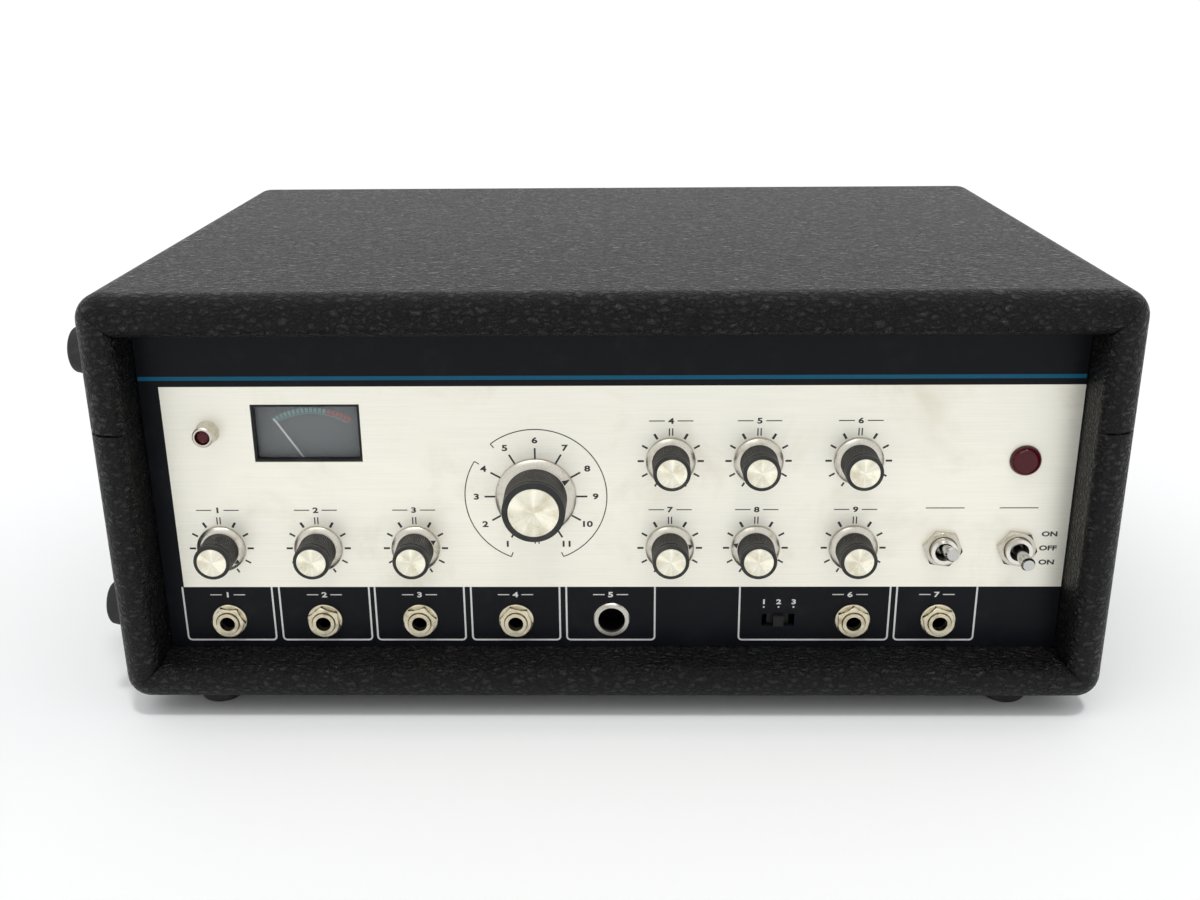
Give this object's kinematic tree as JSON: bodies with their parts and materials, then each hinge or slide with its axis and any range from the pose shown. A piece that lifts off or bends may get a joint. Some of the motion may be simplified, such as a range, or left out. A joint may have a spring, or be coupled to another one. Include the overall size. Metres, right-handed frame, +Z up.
{
  "type": "tape echo unit",
  "caption": "Portable tape echo unit: vinyl-covered cabinet whose top lifts off a tape deck, with a recessed panel of knobs, jacks and a meter.",
  "frame": {"origin": "middle of the whole width and depth, on the surface that the feet stand on", "axes": "+X to the right as seen from the control panel, +Y to the back, +Z up"},
  "size_m": [0.4526, 0.282, 0.185],
  "materials": {
    "vinyl": "black leather-grain vinyl over wood",
    "rubber": "matte black rubber",
    "panel": "brushed aluminium with printed black areas",
    "nickel": "worn nickel plate",
    "socket": "plated steel",
    "lever": "polished chrome",
    "black_plastic": "satin black plastic",
    "knob": "knurled black plastic with a metal skirt and cap",
    "knob_metal": "spun aluminium",
    "red_lens": "dark red translucent plastic",
    "glass": "clear",
    "scale": "matt slate grey",
    "needle": "white paint",
    "sheet_steel": "zinc-plated sheet",
    "tape": "brown oxide",
    "bright_steel": "ground steel",
    "motor": "dark grey paint",
    "roller": "black rubber on a metal hub",
    "board": "resin board",
    "core": "varnished laminations",
    "strap": "black moulded strap",
    "hardware": "nickel plate"
  },
  "bodies": {
    "root": {"lower_cabinet": "vinyl", "rubber_feet": "rubber", "front_panel": "panel", "potentiometers": "socket", "mode_switch": "socket", "jack_sockets": "socket", "jack_nuts_and_washers": "nickel", "line_socket": "nickel", "switch_bodies": "socket", "toggle_nuts": "nickel", "power_lamp_lens": "red_lens", "peak_lamp_bezel": "nickel", "peak_lamp_lens": "red_lens", "lamp_holders": "socket", "meter_case": "black_plastic", "meter_window": "glass", "meter_scale": "scale", "chassis_frame": "sheet_steel", "transport_deck": "sheet_steel", "tape_chamber_cover": "glass", "tape_loop": "tape", "tape_guides": "bright_steel", "tape_heads": "bright_steel", "drive_motor": "motor", "pinch_spring": "bright_steel", "circuit_boards": "board", "power_transformer": "core", "reverb_tank": "sheet_steel", "reverb_springs": "sheet_steel", "rear_panel": "sheet_steel", "cord_gland": "black_plastic", "fuse_holder": "black_plastic", "handle_strap": "strap", "handle_end_caps": "hardware", "catch_plates": "hardware", "screws": "bright_steel"},
    "upper_half": {"upper_cabinet": "vinyl", "side_feet_upper": "rubber", "catch_keepers": "hardware"},
    "knob_input_volume_1": {"knob_input_volume_1": "knob"},
    "knob_input_volume_2": {"knob_input_volume_2": "knob"},
    "knob_input_volume_3": {"knob_input_volume_3": "knob"},
    "knob_intensity": {"knob_intensity": "knob"},
    "knob_echo_volume": {"knob_echo_volume": "knob"},
    "knob_treble": {"knob_treble": "knob"},
    "knob_repeat_rate": {"knob_repeat_rate": "knob"},
    "knob_reverb_volume": {"knob_reverb_volume": "knob"},
    "knob_bass": {"knob_bass": "knob"},
    "mode_knob": {"mode_knob_grip": "knob", "mode_knob_skirt": "knob_metal", "mode_knob_cap": "knob_metal"},
    "standby_lever": {"standby_lever": "lever"},
    "power_lever": {"power_lever": "lever"},
    "level_slider": {"level_switch_slider": "black_plastic"},
    "meter_needle": {"meter_needle": "needle"},
    "capstan": {"capstan": "bright_steel"},
    "pinch_arm": {"pinch_arm": "bright_steel"},
    "pinch_roller": {"pinch_roller": "roller"},
    "catch_lever_left": {"catch_lever_left": "hardware"},
    "catch_lever_right": {"catch_lever_right": "hardware"}
  },
  "joints": [
    {"name": "upper_half_lift", "type": "slide", "parent": "root", "child": "upper_half", "axis": [0, 0, 1], "range_m": [0, 0.13]},
    {"name": "knob_input_volume_1_turn", "type": "hinge", "parent": "root", "child": "knob_input_volume_1", "pos_m": [-0.17074, -0.121, 0.0722], "axis": [0, 1, 0], "range_deg": [-280, 20]},
    {"name": "knob_intensity_turn", "type": "hinge", "parent": "root", "child": "knob_intensity", "pos_m": [0.01876, -0.121, 0.1112], "axis": [0, 1, 0], "range_deg": [0, 300]},
    {"name": "knob_repeat_rate_turn", "type": "hinge", "parent": "root", "child": "knob_repeat_rate", "pos_m": [0.01876, -0.121, 0.0722], "axis": [0, 1, 0], "range_deg": [-230, 70]},
    {"name": "knob_input_volume_2_turn", "type": "hinge", "parent": "root", "child": "knob_input_volume_2", "pos_m": [-0.12954, -0.121, 0.0722], "axis": [0, 1, 0], "range_deg": [0, 300]},
    {"name": "knob_echo_volume_turn", "type": "hinge", "parent": "root", "child": "knob_echo_volume", "pos_m": [0.05476, -0.121, 0.1112], "axis": [0, 1, 0], "range_deg": [0, 300]},
    {"name": "knob_reverb_volume_turn", "type": "hinge", "parent": "root", "child": "knob_reverb_volume", "pos_m": [0.05476, -0.121, 0.0722], "axis": [0, 1, 0], "range_deg": [-74, 226]},
    {"name": "knob_input_volume_3_turn", "type": "hinge", "parent": "root", "child": "knob_input_volume_3", "pos_m": [-0.08834, -0.121, 0.0722], "axis": [0, 1, 0], "range_deg": [-215, 85]},
    {"name": "knob_treble_turn", "type": "hinge", "parent": "root", "child": "knob_treble", "pos_m": [0.09576, -0.121, 0.1112], "axis": [0, 1, 0], "range_deg": [-270, 30]},
    {"name": "knob_bass_turn", "type": "hinge", "parent": "root", "child": "knob_bass", "pos_m": [0.09576, -0.121, 0.0722], "axis": [0, 1, 0], "range_deg": [-270, 30]},
    {"name": "mode_turn", "type": "hinge", "parent": "root", "child": "mode_knob", "pos_m": [-0.03704, -0.121, 0.0956], "axis": [0, 1, 0], "range_deg": [-210, 120]},
    {"name": "standby_throw", "type": "hinge", "parent": "root", "child": "standby_lever", "pos_m": [0.13296, -0.12, 0.0722], "axis": [1, 0, 0], "range_deg": [0, 27]},
    {"name": "power_throw", "type": "hinge", "parent": "root", "child": "power_lever", "pos_m": [0.16396, -0.12, 0.0722], "axis": [1, 0, 0], "range_deg": [-13.5, 13.5]},
    {"name": "level_slide", "type": "slide", "parent": "root", "child": "level_slider", "axis": [1, 0, 0], "range_m": [-0.0044, 0.0044]},
    {"name": "needle_swing", "type": "hinge", "parent": "root", "child": "meter_needle", "pos_m": [-0.13034, -0.114, 0.1046], "axis": [0, 1, 0], "range_deg": [0, 66], "stiffness_Nm_per_rad": 0.00005},
    {"name": "capstan_spin", "type": "hinge", "parent": "root", "child": "capstan", "pos_m": [-0.11124, -0.05755, 0.1318], "axis": [0, 0, 1], "continuous": true},
    {"name": "pinch_arm_swing", "type": "hinge", "parent": "root", "child": "pinch_arm", "pos_m": [-0.08124, -0.07645, 0.1321], "axis": [0, 0, 1], "range_deg": [0, 12], "stiffness_Nm_per_rad": 0.3, "springref_deg": -17.19},
    {"name": "pinch_roller_spin", "type": "hinge", "parent": "pinch_arm", "child": "pinch_roller", "pos_m": [-0.11124, -0.07345, 0.1346], "axis": [0, 0, 1], "continuous": true},
    {"name": "catch_left_swing", "type": "hinge", "parent": "root", "child": "catch_lever_left", "pos_m": [-0.21874, 0, 0.0933], "axis": [0, -1, 0], "range_deg": [-5, 95]},
    {"name": "catch_right_swing", "type": "hinge", "parent": "root", "child": "catch_lever_right", "pos_m": [0.20626, 0, 0.0933], "axis": [0, 1, 0], "range_deg": [-5, 95]}
  ],
  "couplings": [
    {"joint": "pinch_roller_spin", "follows": "capstan_spin", "ratio": -0.36364}
  ]
}
